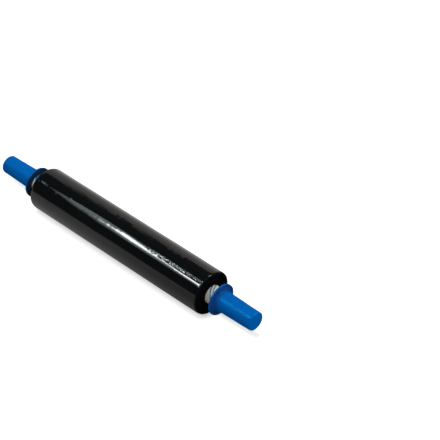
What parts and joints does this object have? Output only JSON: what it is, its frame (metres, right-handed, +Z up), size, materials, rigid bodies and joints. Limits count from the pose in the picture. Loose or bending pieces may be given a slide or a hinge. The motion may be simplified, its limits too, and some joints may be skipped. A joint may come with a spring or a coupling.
{
  "type": "stretch wrap roll",
  "caption": "Roll of glossy black stretch film wound on a paper core, with a flanged hand grip turning in each end of the core.",
  "frame": {"origin": "middle of the flat on which the wound film lies", "axes": "+X along the roll towards the right handle, +Z up, the roll's axis parallel to X above the origin"},
  "size_m": [0.7502, 0.0974, 0.097],
  "materials": {
    "film": "tight glossy black film with fine wrinkles",
    "core_paper": "matt cream paper with slanting teal stripes",
    "handle_plastic": "satin blue moulded plastic"
  },
  "bodies": {
    "roll": {"film_roll": "film", "core": "core_paper"},
    "left_grip": {"left_handle": "handle_plastic"},
    "right_grip": {"right_handle": "handle_plastic"}
  },
  "joints": [
    {"name": "left_spin", "type": "hinge", "parent": "roll", "child": "left_grip", "pos_m": [-0.3, 0, 0.04831], "axis": [1, 0, 0], "continuous": true},
    {"name": "right_spin", "type": "hinge", "parent": "roll", "child": "right_grip", "pos_m": [0.3, 0, 0.04831], "axis": [1, 0, 0], "continuous": true}
  ]
}
